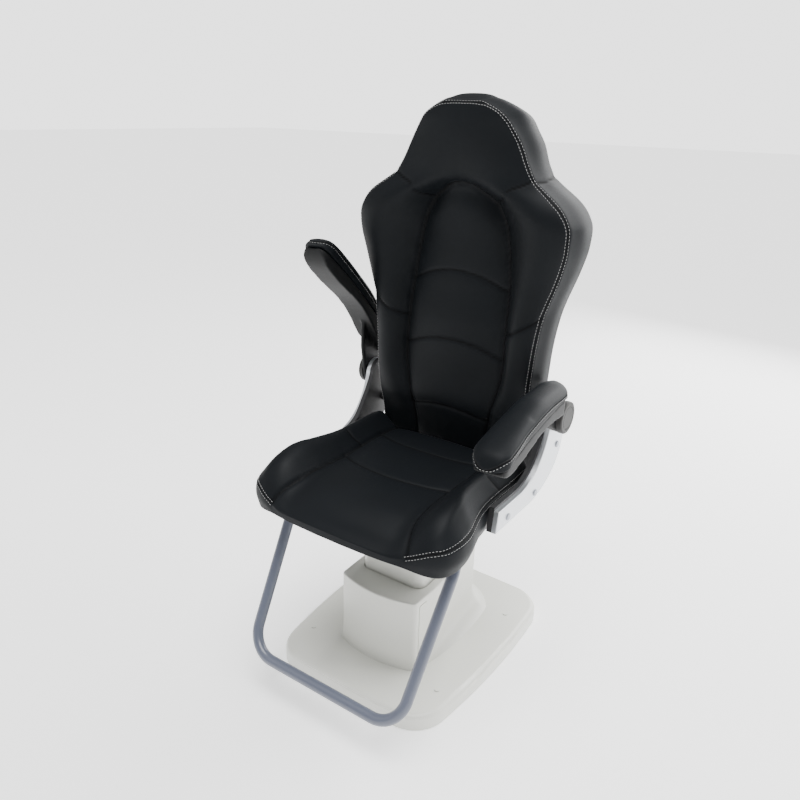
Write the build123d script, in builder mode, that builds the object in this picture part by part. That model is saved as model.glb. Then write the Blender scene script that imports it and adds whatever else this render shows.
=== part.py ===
import os
from math import cos, radians, sin

from build123d import *

os.makedirs("parts", exist_ok=True)

# Motorised patient chair for an eye examination room, in millimetres.
# +Z up, the patient faces -Y, +X is the patient's left, origin on the floor under the swivel axis.

# ---- base ----
floor_gap = 1.5  # air under the moulded base cover
base_height = 40.0
base_wall = 4.0
base_front_half = 212.0  # half width at the front corners
base_mid_half = 242.0
base_rear_half = 232.0
base_front_y = -268.0
base_rear_y = 304.0
base_bow = 8.0  # how far the front and rear edges bow out
base_corner_radius = 88.0
base_round = 14.0
plate_half_width = 198.0
plate_front_y = -225.0
plate_rear_y = 262.0
plate_thickness = 10.0
plate_corner_radius = 60.0
anchor_hole_radius = 5.5
anchor_spacing_x = 300.0
anchor_spacing_y = 380.0
anchor_centre_y = 15.0
cover_screw_x = 184.0
cover_screw_front_y = -160.0
cover_screw_rear_y = 175.0
cover_screw_radius = 3.0
cover_boss_radius = 7.0
cover_screw_head_height = 2.0

# ---- column covers ----
lower_cover_top = 227.0
lower_cover_wall = 4.0
lower_front_half = 106.0
lower_front_y = -140.0
lower_front_bow = 22.0
lower_rear_half = 98.0
lower_side_rear_y = 150.0
lower_rear_y = 192.0
foot_flare_side = 32.0  # how far the foot of the cover spreads at mid length
foot_flare_front = 3.0
foot_flare_rear = 58.0
foot_mid_height = 22.0
foot_top_height = 75.0
lower_corner_radius = 12.0
lower_rear_corner_radius = 34.0
lower_top_round = 4.0
groove_depth = 1.6
groove_width = 3.0
groove_inset = 15.0
upper_half = 86.0
upper_front_y = -91.0
upper_rear_y = 148.0
upper_corner_radius = 22.0
upper_wall = 3.5
upper_bottom = 22.0
upper_gap = 2.5  # air between the sliding cover and the opening it passes
column_top = 352.0
top_plate_thickness = 8.0
top_plate_chamfer = 2.0

# ---- lift ----
tube_centre_y = 25.0
outer_tube_half = 45.0
outer_tube_wall = 5.0
outer_tube_top = 330.0
bush_thickness = 3.0
bush_height = 26.0
bush_pitch = 46.0  # from one pair of bushes down to the next
bush_clearance = 0.05
inner_tube_half = 37.0
inner_tube_wall = 4.0
inner_tube_bottom = 76.0
gearbox_half = 32.0
gearbox_height = 62.0
gearbox_corner_radius = 8.0
actuator_radius = 20.0
actuator_bore_radius = 13.0
actuator_top = 328.0
rod_radius = 12.95
rod_bottom = 90.0
motor_radius = 24.0
motor_height = 120.0
motor_edge_round = 3.0
motor_gap = 3.0  # between the outer tube and the motor
motor_slot_margin = 3.0  # each side of the motor's neck
motor_neck_radius = 12.0
control_box_width = 120.0
control_box_depth = 32.0
control_box_height = 130.0
control_box_corner_radius = 4.0

# ---- inlet and foot switch ----
inlet_width = 28.0
inlet_height = 20.0
inlet_depth = 26.0
inlet_flange = 2.0  # added to the width and the height
inlet_flange_thickness = 2.0
inlet_wall = 2.0
inlet_cavity_depth = 16.0
inlet_pin_offsets = ((-7.0, -3.0), (0.0, 3.0), (7.0, -3.0))
inlet_pin_length = 12.0
inlet_pin_width = 2.0
inlet_pin_height = 4.0
inlet_z = 14.5
inlet_x = 70.0
switch_x = -126.0
switch_y = 250.0
switch_width = 104.0
switch_length = 46.0
switch_height = 14.0
pedal_width = 44.0
pedal_length = 38.0
pedal_thickness = 6.0
pedal_axle_radius = 2.0
pedal_axle_clearance = 0.05
pedal_gap = 2.5
pedal_axle_rise = 5.0
switch_corner_radius = 6.0
axle_from_front = 4.0  # axle back from the pedals' front edge
lug_thickness = 4.0
lug_length = 12.0
lug_inset = 3.0
lug_round = 0.8
pedal_corner_radius = 5.0
pedal_side_gap = 3.0  # from the middle of the switch to each pedal
rib_pitch = 6.0
rib_width = 2.4
rib_height = 1.6
rib_inset = 5.0
barrel_wall = 2.2

# ---- swivel ----
race_radius = 62.0
race_thickness = 9.0
race_gap = 0.3
race_bore_radius = 15.0
race_lip = 4.0
spindle_clearance = 0.05
spindle_head_radius = 22.0
spindle_washer = 1.0
race_running_gap = 0.05  # radial, between the two races
spindle_end_gap = 1.0

# ---- seat ----
seat_bottom = 425.0
seat_top = 502.0  # at the centre line
bolster_top = 529.0
bolster_peak_x = 212.0
bolster_foot_x = 122.0
seat_front_y = -318.0
seat_front_seam_half = 176.0
seat_front_seam_y = -306.0
seat_shoulder_half = 267.0
seat_shoulder_y = -205.0
seat_waist_half = 235.0
seat_waist_y = -92.0
seat_rear_y = 138.0
seat_shoulder_radius = 40.0
seat_shoulder_set_back = 22.0
seat_nose_drop = 40.0  # how far the top falls at the front edge
seat_edge_z = 478.0  # top of the upright side band
seat_under_rise = 16.0
seat_rear_rise = 6.0
frame_half = 168.0
frame_front_y = -150.0
frame_rear_y = 130.0
frame_thickness = 8.0
frame_corner_radius = 20.0
frame_slot_x = 90.0
frame_slot_width = 40.0
frame_slot_length = 150.0
frame_slot_radius = 12.0
board_half_width = 222.0
board_front_y = -240.0
board_rear_y = 132.0
board_thickness = 12.0
board_corner_radius = 24.0
rail_front_y = -84.0
rail_thickness = 18.0
rail_top = 482.0
soft_gap = 0.4  # air round a hard piece inside a cushion
frame_bolt_x = 120.0
frame_bolt_y = 110.0
m8_radius = 4.0
m8_head_radius = 6.5
m8_head_height = 5.0
hole_clearance = 0.3

# ---- backrest ----
back_bottom = 458.0
back_top = 1300.0
back_waist_half = 213.0
back_waist_z = 700.0
back_wing_half = 269.0
back_wing_z = 1028.0
back_shoulder_half = 173.0
back_shoulder_z = 1138.0
back_head_half = 103.0
back_head_z = 1256.0
back_front_y = 152.0
back_rear_lower_y = 226.0
back_frame_y = 196.0
back_frame_thickness = 8.0
back_frame_inset = 6.0  # crossbar end, in from the side of the cushion
back_lug = 24.0  # cube at each end of the crossbar that takes the upper bolt
back_crossbar_bottom = 525.0
back_crossbar_top = 565.0
back_upright_x = 120.0
back_upright_width = 40.0
back_upright_top = 1010.0
back_head_bar_bottom = 985.0

# ---- side brackets ----
bracket_inner_x = 250.0
bracket_thickness = 12.0
bracket_lower_z = 442.0
bracket_upper_z = 490.0
bracket_front_y = -86.0
bracket_edge_round = 2.5
backing_thickness = 11.5
backing_margin = 7.0
seat_bolt_ys = (-35.0, 98.0)
seat_bolt_z = 461.0
back_bolt_y = 200.0
back_bolt_z = 545.0
cap_radius = 8.0
cap_height = 3.0
cap_round = 2.0
bolt_head_under_cap = 0.5
bolt_length_seat = 34.0
spacer_radius = 11.0

# ---- armrests ----
pivot_y = 190.0
pivot_z = 620.0
hub_radius = 37.0
hub_gap = 0.4
hub_thickness = 11.0
pin_radius = 8.0
pin_clearance = 0.05
knob_thickness = 13.0
knob_radius = 38.0
knob_round = 4.0
knob_ring_radius = 27.0
knob_ring_depth = 1.2
knob_ring_width = 1.5
arm_toe = 3.0  # degrees the arm points outward towards its tip
pad_centre_x = 268.0
pad_half_width = 39.0
core_inset = 5.0  # how far the plastic core is set in from the pad edge
arm_reach = 412.0
pad_rear = -14.0  # rear corner on the side next to the patient
pad_rear_slant = 92.0  # how much further forward the outer rear corner lies
pad_rear_radius = 24.0
pad_lift = 140.0  # height of the block that the pad is cut from
raised_angle = 55.0  # how far the patient's right armrest is flipped up

# ---- footrest ----
foot_tube_radius = 12.5
foot_tube_wall = 2.0
foot_lower_x = 204.0
foot_lower_y = -353.0
foot_lower_z = 91.0
foot_upper_x = 222.0
foot_upper_y = -174.0
foot_tail_x = 112.0
foot_tail_y = 10.0
foot_upper_z = 398.0
foot_lower_bend = 66.0
foot_upper_bend = 52.0
clamp_width = 44.0
clamp_length = 30.0
clamp_wall = 4.0
clamp_at = (0.42, 0.86)  # stations of the clamps along the horizontal tail
plug_length = 14.0
plug_flange = 2.0

pivot_x = bracket_inner_x + bracket_thickness + hub_gap
arm_axis = Axis((0, pivot_y, pivot_z), (1, 0, 0))


def save(piece, label):
    piece.part.label = label
    export_step(piece.part, f"parts/{label}.step")


def mirrored(piece):
    return piece.part.mirror(Plane.YZ)


def raised(piece):
    return mirrored(piece).rotate(arm_axis, -raised_angle)


def base_outline(inset):
    """Plan of the moulded base: bowed sides, bowed ends, large round corners."""
    front_y = base_front_y + inset
    rear_y = base_rear_y - inset
    front_half = base_front_half - inset
    rear_half = base_rear_half - inset
    mid_half = base_mid_half - inset
    with BuildSketch() as outline:
        with BuildLine():
            ThreePointArc((-front_half, front_y), (0, front_y - base_bow), (front_half, front_y))
            ThreePointArc((front_half, front_y), (mid_half, 0), (rear_half, rear_y))
            ThreePointArc((rear_half, rear_y), (0, rear_y + base_bow), (-rear_half, rear_y))
            ThreePointArc((-rear_half, rear_y), (-mid_half, 0), (-front_half, front_y))
        make_face()
        fillet(outline.vertices(), base_corner_radius - inset)
    return outline.sketch


def column_outline(inset, side, front, rear):
    """Plan of the lower column cover, spread by side, front and rear towards its foot."""
    front_half = lower_front_half + front - inset
    front_y = lower_front_y - front + inset
    side_half = lower_front_half + side - inset
    rear_half = lower_rear_half + side - inset
    side_rear_y = lower_side_rear_y + rear / 3
    rear_y = lower_rear_y + rear - inset
    mid_y = (front_y + side_rear_y) / 2
    with BuildSketch() as outline:
        with BuildLine():
            ThreePointArc((-front_half, front_y), (0, front_y - lower_front_bow), (front_half, front_y))
            ThreePointArc((front_half, front_y), (side_half + 0.5, mid_y + 30), (rear_half, side_rear_y))
            ThreePointArc((rear_half, side_rear_y), (0, rear_y), (-rear_half, side_rear_y))
            ThreePointArc((-rear_half, side_rear_y), (-side_half - 0.5, mid_y + 30), (-front_half, front_y))
        make_face()
        corners = outline.vertices().sort_by(Axis.Y)
        fillet(corners[:2], lower_corner_radius - inset)
        corners = outline.vertices().sort_by(Axis.Y)
        fillet(corners[-2:], lower_rear_corner_radius - inset)
    return outline.sketch


def column_solid(inset, top):
    """Lower column block: a flared foot lofted up to straight walls."""
    heights = (base_height, base_height + foot_mid_height, base_height + foot_top_height)
    spreads = (1.0, 0.36, 0.0)
    with BuildPart() as block:
        for height, spread in zip(heights, spreads):
            with BuildSketch(Plane.XY.offset(height)):
                add(column_outline(inset, foot_flare_side * spread, foot_flare_front * spread,
                                   foot_flare_rear * spread))
        loft()
        with BuildSketch(Plane.XY.offset(heights[-1])):
            add(column_outline(inset, 0, 0, 0))
        extrude(amount=top - heights[-1])
    return block.part


def upper_outline(inset):
    with BuildSketch() as outline:
        depth = upper_rear_y - upper_front_y
        with Locations((0, upper_front_y + depth / 2)):
            RectangleRounded(2 * (upper_half - inset), depth - 2 * inset, upper_corner_radius - inset)
    return outline.sketch


# ================= base =================

with BuildPart() as base_plate:
    with BuildSketch():
        depth = plate_rear_y - plate_front_y
        with Locations((0, plate_front_y + depth / 2)):
            RectangleRounded(2 * plate_half_width, depth, plate_corner_radius)
    extrude(amount=plate_thickness)
    with Locations((0, anchor_centre_y, plate_thickness)):
        with GridLocations(anchor_spacing_x, anchor_spacing_y, 2, 2):
            Hole(anchor_hole_radius)
save(base_plate, "base_plate")

screw_places = [
    (x, y) for x in (-cover_screw_x, cover_screw_x) for y in (cover_screw_front_y, cover_screw_rear_y)
]

with BuildPart() as base_cover:
    with BuildSketch(Plane.XY.offset(floor_gap)):
        add(base_outline(0))
    extrude(amount=base_height - floor_gap)
    fillet(base_cover.faces().sort_by(Axis.Z)[-1].edges(), base_round)
    with BuildSketch(Plane.XY.offset(floor_gap)):
        add(base_outline(base_wall))
    extrude(amount=base_height - base_wall - floor_gap, mode=Mode.SUBTRACT)
    with BuildSketch(Plane.XY.offset(base_height)):
        add(column_outline(lower_cover_wall, 0, 0, 0))
    extrude(amount=-2 * base_wall, mode=Mode.SUBTRACT)
    with BuildSketch(Plane.XY.offset(plate_thickness)):
        with Locations(*screw_places):
            Circle(cover_boss_radius)
    extrude(amount=base_height - base_wall - plate_thickness)
    with Locations(*[(x, y, base_height) for x, y in screw_places]):
        Hole(cover_screw_radius + hole_clearance)
    with BuildSketch(Plane.XZ.offset(-(base_rear_y + base_bow + 1))):
        with Locations((inlet_x, inlet_z)):
            Rectangle(inlet_width + 2 * hole_clearance, inlet_height + 2 * hole_clearance)
    extrude(amount=20, mode=Mode.SUBTRACT)
save(base_cover, "base_cover")

with BuildPart() as base_cover_screws:
    with BuildSketch(Plane.XY.offset(base_height)):
        with Locations(*screw_places):
            Circle(2 * cover_screw_radius)
    extrude(amount=cover_screw_head_height)
    with BuildSketch(Plane.XY.offset(plate_thickness)):
        with Locations(*screw_places):
            Circle(cover_screw_radius)
    extrude(amount=base_height - plate_thickness)
save(base_cover_screws, "base_cover_screws")

with BuildPart() as lower_column_cover:
    add(column_solid(0, lower_cover_top))
    fillet(lower_column_cover.faces().sort_by(Axis.Z)[-1].edges(), lower_top_round)
    add(column_solid(lower_cover_wall, lower_cover_top - lower_cover_wall), mode=Mode.SUBTRACT)
    with BuildSketch(Plane.XY.offset(lower_cover_top)):
        add(upper_outline(-upper_gap))
    extrude(amount=-2 * lower_cover_wall, mode=Mode.SUBTRACT)
    groove_front_y = lower_front_y + groove_inset
    groove_top_z = lower_cover_top - groove_inset
    groove_rear_y = lower_side_rear_y - lower_rear_corner_radius
    groove_bottom_z = base_height + foot_mid_height
    for side in (-1, 1):
        with Locations((side * lower_front_half, groove_front_y, (groove_top_z + groove_bottom_z) / 2)):
            Box(2 * groove_depth, groove_width, groove_top_z - groove_bottom_z, mode=Mode.SUBTRACT)
        with Locations((side * lower_front_half, (groove_front_y + groove_rear_y) / 2, groove_top_z)):
            Box(2 * groove_depth, groove_rear_y - groove_front_y, groove_width, mode=Mode.SUBTRACT)
save(lower_column_cover, "lower_column_cover")

# ================= lift mechanism fixed to the base =================

with BuildPart() as lift_outer_tube:
    with BuildSketch(Plane.XY.offset(plate_thickness)):
        with Locations((0, tube_centre_y)):
            Rectangle(2 * outer_tube_half, 2 * outer_tube_half)
            Rectangle(2 * (outer_tube_half - outer_tube_wall), 2 * (outer_tube_half - outer_tube_wall),
                      mode=Mode.SUBTRACT)
    extrude(amount=outer_tube_top - plate_thickness)
    with Locations((0, tube_centre_y + outer_tube_half, plate_thickness + gearbox_height / 2)):
        Box(2 * (motor_neck_radius + motor_slot_margin), 3 * outer_tube_wall, gearbox_height,
            mode=Mode.SUBTRACT)
save(lift_outer_tube, "lift_outer_tube")

bush_outer = outer_tube_half - outer_tube_wall
bush_inner = inner_tube_half + bush_clearance
bush_places = (outer_tube_top - bush_height, outer_tube_top - bush_height - bush_pitch)

with BuildPart() as guide_bushes:
    for bush_bottom in bush_places:
        with BuildSketch(Plane.XY.offset(bush_bottom)):
            with Locations((0, tube_centre_y)):
                Rectangle(2 * bush_outer, 2 * bush_outer)
                Rectangle(2 * bush_inner, 2 * bush_inner, mode=Mode.SUBTRACT)
        extrude(amount=bush_height)
save(guide_bushes, "guide_bushes")

with BuildPart() as actuator_gearbox:
    with Locations((0, tube_centre_y, plate_thickness + gearbox_height / 2)):
        Box(2 * gearbox_half, 2 * gearbox_half, gearbox_height)
    fillet(actuator_gearbox.edges().filter_by(Axis.Z), gearbox_corner_radius)
    motor_y = tube_centre_y + outer_tube_half + motor_radius + motor_gap
    with BuildSketch(Plane.XZ.offset(-(tube_centre_y + gearbox_half))):
        with Locations((0, plate_thickness + gearbox_height / 2)):
            Circle(motor_neck_radius)
    extrude(amount=-(motor_y - tube_centre_y - gearbox_half))
    with BuildSketch(Plane.XY.offset(plate_thickness)):
        with Locations((0, motor_y)):
            Circle(motor_radius)
    extrude(amount=motor_height, mode=Mode.SUBTRACT)
save(actuator_gearbox, "actuator_gearbox")

with BuildPart() as actuator_motor:
    with BuildSketch(Plane.XY.offset(plate_thickness)):
        with Locations((0, motor_y)):
            Circle(motor_radius)
    extrude(amount=motor_height)
    fillet(actuator_motor.edges(), motor_edge_round)
save(actuator_motor, "actuator_motor")

with BuildPart() as actuator_tube:
    with BuildSketch(Plane.XY.offset(plate_thickness + gearbox_height)):
        with Locations((0, tube_centre_y)):
            Circle(actuator_radius)
            Circle(actuator_bore_radius, mode=Mode.SUBTRACT)
    extrude(amount=actuator_top - plate_thickness - gearbox_height)
save(actuator_tube, "actuator_tube")

with BuildPart() as control_box:
    with Locations((0, tube_centre_y - outer_tube_half - control_box_depth / 2,
                    plate_thickness + control_box_height / 2)):
        Box(control_box_width, control_box_depth, control_box_height)
    fillet(control_box.edges().filter_by(Axis.Z), control_box_corner_radius)
save(control_box, "control_box")

with BuildPart() as power_inlet:
    inlet_face_y = base_rear_y + base_bow - hole_clearance
    with Locations((inlet_x, inlet_face_y - inlet_depth / 2, inlet_z)):
        Box(inlet_width, inlet_depth, inlet_height)
    with Locations((inlet_x, inlet_face_y + 2 * hole_clearance + inlet_flange_thickness / 2, inlet_z)):
        Box(inlet_width + inlet_flange, inlet_flange_thickness, inlet_height + inlet_flange)
    with Locations((inlet_x, inlet_face_y + hole_clearance, inlet_z)):
        Box(inlet_width, 2 * hole_clearance, inlet_height)
    with Locations((inlet_x, inlet_face_y + inlet_flange_thickness + 1 - inlet_cavity_depth / 2, inlet_z)):
        Box(inlet_width - 2 * inlet_wall, inlet_cavity_depth, inlet_height - 2 * inlet_wall,
            mode=Mode.SUBTRACT)
    pin_y = inlet_face_y + inlet_flange_thickness - inlet_cavity_depth + inlet_pin_length / 2
    for pin_x, pin_z in inlet_pin_offsets:
        with Locations((inlet_x + pin_x, pin_y, inlet_z + pin_z)):
            Box(inlet_pin_width, inlet_pin_length, inlet_pin_height)
save(power_inlet, "power_inlet")

# ================= foot switch =================

axle_z = base_height + switch_height + pedal_axle_rise
axle_y = switch_y - pedal_length / 2 + axle_from_front

with BuildPart() as foot_switch_housing:
    with Locations((switch_x, switch_y, base_height + switch_height / 2)):
        Box(switch_width, switch_length, switch_height)
    fillet(foot_switch_housing.edges().filter_by(Axis.Z), switch_corner_radius)
    for side in (-1, 0, 1):
        with Locations((switch_x + side * (switch_width / 2 - lug_inset), axle_y, axle_z - pedal_axle_radius)):
            Box(lug_thickness, lug_length, 2 * pedal_axle_rise + lug_inset)
    with BuildSketch(Plane.YZ.offset(switch_x - switch_width)):
        with Locations((axle_y, axle_z)):
            Circle(pedal_axle_radius)
    extrude(amount=2 * switch_width, mode=Mode.SUBTRACT)
    fillet(foot_switch_housing.edges().filter_by(Axis.X).sort_by(Axis.Z)[-2:], lug_round)
save(foot_switch_housing, "foot_switch_housing")

with BuildPart() as foot_switch_axle:
    with BuildSketch(Plane.YZ.offset(switch_x - switch_width / 2 + 1)):
        with Locations((axle_y, axle_z)):
            Circle(pedal_axle_radius)
    extrude(amount=switch_width - 2)
save(foot_switch_axle, "foot_switch_axle")


def pedal(side):
    pedal_x = switch_x + side * (pedal_width / 2 + pedal_side_gap)
    with BuildPart() as made:
        with Locations((pedal_x, switch_y, axle_z + pedal_gap / 2 + pedal_thickness / 2)):
            Box(pedal_width, pedal_length, pedal_thickness)
        fillet(made.edges().filter_by(Axis.Z), pedal_corner_radius)
        for rib in (-2, -1, 1, 2):
            with Locations((pedal_x, switch_y + rib * rib_pitch, axle_z + pedal_gap / 2 + pedal_thickness)):
                Box(pedal_width - 2 * rib_inset, rib_width, rib_height)
        with BuildSketch(Plane.YZ.offset(pedal_x - pedal_width / 2 + pedal_side_gap)):
            with Locations((axle_y, axle_z)):
                Circle(pedal_axle_radius + barrel_wall)
            with Locations((axle_y, axle_z + pedal_axle_radius)):
                Rectangle(2 * (pedal_axle_radius + barrel_wall), 2 * pedal_axle_radius)
        extrude(amount=pedal_width - 2 * pedal_side_gap)
        with BuildSketch(Plane.YZ.offset(pedal_x - pedal_width / 2)):
            with Locations((axle_y, axle_z)):
                Circle(pedal_axle_radius + pedal_axle_clearance)
        extrude(amount=pedal_width, mode=Mode.SUBTRACT)
    return made


save(pedal(-1), "foot_pedal_up")
save(pedal(1), "foot_pedal_down")

# ================= lifting column =================

with BuildPart() as upper_column_cover:
    with BuildSketch(Plane.XY.offset(upper_bottom)):
        add(upper_outline(0))
        add(upper_outline(upper_wall), mode=Mode.SUBTRACT)
    extrude(amount=column_top - top_plate_thickness - upper_bottom)
save(upper_column_cover, "upper_column_cover")

with BuildPart() as lift_inner_tube:
    with BuildSketch(Plane.XY.offset(inner_tube_bottom)):
        with Locations((0, tube_centre_y)):
            Rectangle(2 * inner_tube_half, 2 * inner_tube_half)
            Rectangle(2 * (inner_tube_half - inner_tube_wall), 2 * (inner_tube_half - inner_tube_wall),
                      mode=Mode.SUBTRACT)
    extrude(amount=column_top - top_plate_thickness - inner_tube_bottom)
save(lift_inner_tube, "lift_inner_tube")

with BuildPart() as actuator_rod:
    with BuildSketch(Plane.XY.offset(rod_bottom)):
        with Locations((0, tube_centre_y)):
            Circle(rod_radius)
    extrude(amount=column_top - top_plate_thickness - rod_bottom)
save(actuator_rod, "actuator_rod")

with BuildPart() as column_top_plate:
    with BuildSketch(Plane.XY.offset(column_top - top_plate_thickness)):
        add(upper_outline(0))
    extrude(amount=top_plate_thickness)
    chamfer(column_top_plate.faces().sort_by(Axis.Z)[-1].edges(), top_plate_chamfer)
save(column_top_plate, "column_top_plate")

# ================= swivel, centred on the origin's vertical axis =================

lower_race_top = column_top + race_thickness
spindle_radius = race_bore_radius - spindle_clearance

with BuildPart() as swivel_lower_race:
    with BuildSketch(Plane.XY.offset(column_top)):
        Circle(race_radius)
    extrude(amount=race_thickness)
    with BuildSketch(Plane.XY.offset(lower_race_top)):
        Circle(race_bore_radius + 2 * race_lip)
        Circle(race_bore_radius, mode=Mode.SUBTRACT)
    extrude(amount=3 * race_lip)
    with BuildSketch(Plane.XY.offset(lower_race_top)):
        Circle(race_bore_radius)
    extrude(amount=-race_thickness, mode=Mode.SUBTRACT)
save(swivel_lower_race, "swivel_lower_race")

frame_bottom = seat_bottom - frame_thickness - soft_gap
ring_outer = race_radius
ring_inner = race_bore_radius + 2 * race_lip + race_running_gap

with BuildPart() as swivel_upper_race:
    with BuildSketch(Plane.XY.offset(lower_race_top + race_gap)):
        Circle(ring_outer)
        Circle(ring_inner, mode=Mode.SUBTRACT)
    extrude(amount=frame_bottom - lower_race_top - race_gap)
save(swivel_upper_race, "swivel_upper_race")

with BuildPart() as swivel_spindle:
    with BuildSketch(Plane.XY.offset(column_top + spindle_end_gap)):
        Circle(spindle_radius)
    extrude(amount=frame_bottom - column_top - spindle_end_gap)
    with BuildSketch(Plane.XY.offset(lower_race_top + 3 * race_lip + spindle_washer)):
        Circle(spindle_head_radius)
    extrude(amount=frame_bottom - lower_race_top - 3 * race_lip - spindle_washer)
save(swivel_spindle, "swivel_spindle")

# ================= seat =================

bolt_grid = [(x, y) for x in (-frame_bolt_x, frame_bolt_x) for y in (-frame_bolt_y, frame_bolt_y)]

with BuildPart() as seat_frame:
    with BuildSketch(Plane.XY.offset(frame_bottom)):
        depth = frame_rear_y - frame_front_y
        with Locations((0, frame_front_y + depth / 2)):
            RectangleRounded(2 * frame_half, depth, frame_corner_radius)
        with Locations((-frame_slot_x, 0), (frame_slot_x, 0)):
            RectangleRounded(frame_slot_width, frame_slot_length, frame_slot_radius, mode=Mode.SUBTRACT)
    extrude(amount=frame_thickness)
    with Locations(*[(x, y, frame_bottom + frame_thickness) for x, y in bolt_grid]):
        Hole(m8_radius + hole_clearance)
save(seat_frame, "seat_frame")

board_bottom = frame_bottom + frame_thickness

with BuildPart() as seat_board:
    with BuildSketch(Plane.XY.offset(board_bottom)):
        depth = board_rear_y - board_front_y
        with Locations((0, board_front_y + depth / 2)):
            RectangleRounded(2 * board_half_width, depth, board_corner_radius)
    extrude(amount=board_thickness)
    rail_length = board_rear_y - board_corner_radius - rail_front_y
    for side in (-1, 1):
        with Locations((side * (board_half_width - rail_thickness / 2), rail_front_y + rail_length / 2,
                        (board_bottom + rail_top) / 2)):
            Box(rail_thickness, rail_length, rail_top - board_bottom)
    with Locations(*[(x, y, board_bottom + board_thickness) for x, y in bolt_grid]):
        Hole(m8_radius + hole_clearance)
    with BuildSketch(Plane.YZ.offset(-board_half_width - 1)):
        with Locations(*[(y, seat_bolt_z) for y in seat_bolt_ys if y < board_rear_y - board_corner_radius]):
            Circle(m8_radius)
    extrude(amount=2 * board_half_width + 2, mode=Mode.SUBTRACT)
save(seat_board, "seat_board")

with BuildPart() as seat_frame_bolts:
    with BuildSketch(Plane.XY.offset(frame_bottom - m8_head_height)):
        with Locations(*bolt_grid):
            RegularPolygon(m8_head_radius, 6)
    extrude(amount=m8_head_height)
    with BuildSketch(Plane.XY.offset(frame_bottom)):
        with Locations(*bolt_grid):
            Circle(m8_radius)
    extrude(amount=frame_thickness + board_thickness)
save(seat_frame_bolts, "seat_frame_bolts")

with BuildPart() as seat_cushion:
    with BuildSketch(Plane.XY.offset(seat_bottom)) as seat_plan:
        with BuildLine():
            front_corner_y = seat_front_seam_y + seat_shoulder_set_back
            ThreePointArc((-seat_front_seam_half, seat_front_seam_y), (0, seat_front_y),
                          (seat_front_seam_half, seat_front_seam_y))
            Polyline((seat_front_seam_half, seat_front_seam_y),
                     (seat_shoulder_half, front_corner_y),
                     (seat_shoulder_half, seat_shoulder_y),
                     (seat_waist_half, seat_waist_y),
                     (seat_waist_half, seat_rear_y),
                     (-seat_waist_half, seat_rear_y),
                     (-seat_waist_half, seat_waist_y),
                     (-seat_shoulder_half, seat_shoulder_y),
                     (-seat_shoulder_half, front_corner_y),
                     (-seat_front_seam_half, seat_front_seam_y))
        make_face()
        fillet([v for v in seat_plan.vertices() if abs(v.X) > seat_front_seam_half + 1 and v.Y < 0],
               seat_shoulder_radius)
    extrude(amount=bolster_top - seat_bottom)
    with BuildSketch(Plane.XZ.offset(-seat_rear_y)):
        with BuildLine():
            top_curve = Spline((-seat_shoulder_half, seat_edge_z), (-bolster_peak_x, bolster_top),
                               (-bolster_foot_x, seat_top + 3), (0, seat_top), (bolster_foot_x, seat_top + 3),
                               (bolster_peak_x, bolster_top), (seat_shoulder_half, seat_edge_z))
            Polyline(top_curve @ 1, (seat_shoulder_half, seat_bottom), (-seat_shoulder_half, seat_bottom),
                     top_curve @ 0)
        make_face()
    extrude(amount=seat_rear_y - seat_front_y, mode=Mode.INTERSECT)
    with BuildSketch(Plane.YZ.offset(-seat_shoulder_half)):
        with BuildLine():
            nose = Spline((seat_rear_y, bolster_top + seat_rear_rise), (-120, bolster_top), (-230, bolster_top - 12),
                          (seat_front_y + 14, bolster_top - seat_nose_drop), (seat_front_y, seat_edge_z - 22),
                          (seat_front_y + 14, seat_bottom + seat_under_rise), (seat_front_y + 50, seat_bottom))
            Polyline(nose @ 1, (seat_rear_y, seat_bottom), nose @ 0)
        make_face()
    extrude(amount=2 * seat_shoulder_half, mode=Mode.INTERSECT)
    with BuildSketch(Plane.XY.offset(board_bottom)):
        depth = board_rear_y - board_front_y
        with Locations((0, board_front_y + depth / 2)):
            RectangleRounded(2 * (board_half_width + soft_gap), depth + 2 * soft_gap, board_corner_radius)
    extrude(amount=board_thickness + soft_gap, mode=Mode.SUBTRACT)
    for side in (-1, 1):
        with Locations((side * (board_half_width - rail_thickness / 2), rail_front_y + rail_length / 2,
                        (board_bottom + rail_top + soft_gap) / 2)):
            Box(rail_thickness + 2 * soft_gap, rail_length + 2 * soft_gap, rail_top + soft_gap - board_bottom,
                mode=Mode.SUBTRACT)
    with BuildSketch(Plane.YZ.offset(-seat_waist_half - 1)):
        with Locations(*[(y, seat_bolt_z) for y in seat_bolt_ys]):
            Circle(m8_radius + soft_gap)
    extrude(amount=2 * seat_waist_half + 2, mode=Mode.SUBTRACT)
save(seat_cushion, "seat_cushion")

# ================= backrest =================

with BuildPart() as back_frame:
    with BuildSketch(Plane.XZ.offset(-back_frame_y - back_frame_thickness)) as frame_face:
        with Locations((0, (back_crossbar_bottom + back_crossbar_top) / 2)):
            Rectangle(2 * (back_waist_half - back_frame_inset), back_crossbar_top - back_crossbar_bottom)
        for side in (-1, 1):
            with Locations((side * back_upright_x, (back_crossbar_bottom + back_upright_top) / 2)):
                Rectangle(back_upright_width, back_upright_top - back_crossbar_bottom)
        with Locations((0, (back_head_bar_bottom + back_upright_top) / 2)):
            Rectangle(2 * back_upright_x, back_upright_top - back_head_bar_bottom)
    extrude(amount=back_frame_thickness)
    for side in (-1, 1):
        with Locations((side * (back_waist_half - back_frame_inset - back_lug / 2), back_bolt_y, back_bolt_z)):
            Box(back_lug, back_lug, back_lug)
        with BuildSketch(Plane.YZ.offset(side * (back_waist_half - back_frame_inset))):
            with Locations((back_bolt_y, back_bolt_z)):
                Circle(m8_radius)
        extrude(amount=-side * (back_lug + 2), mode=Mode.SUBTRACT)
save(back_frame, "back_frame")

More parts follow.
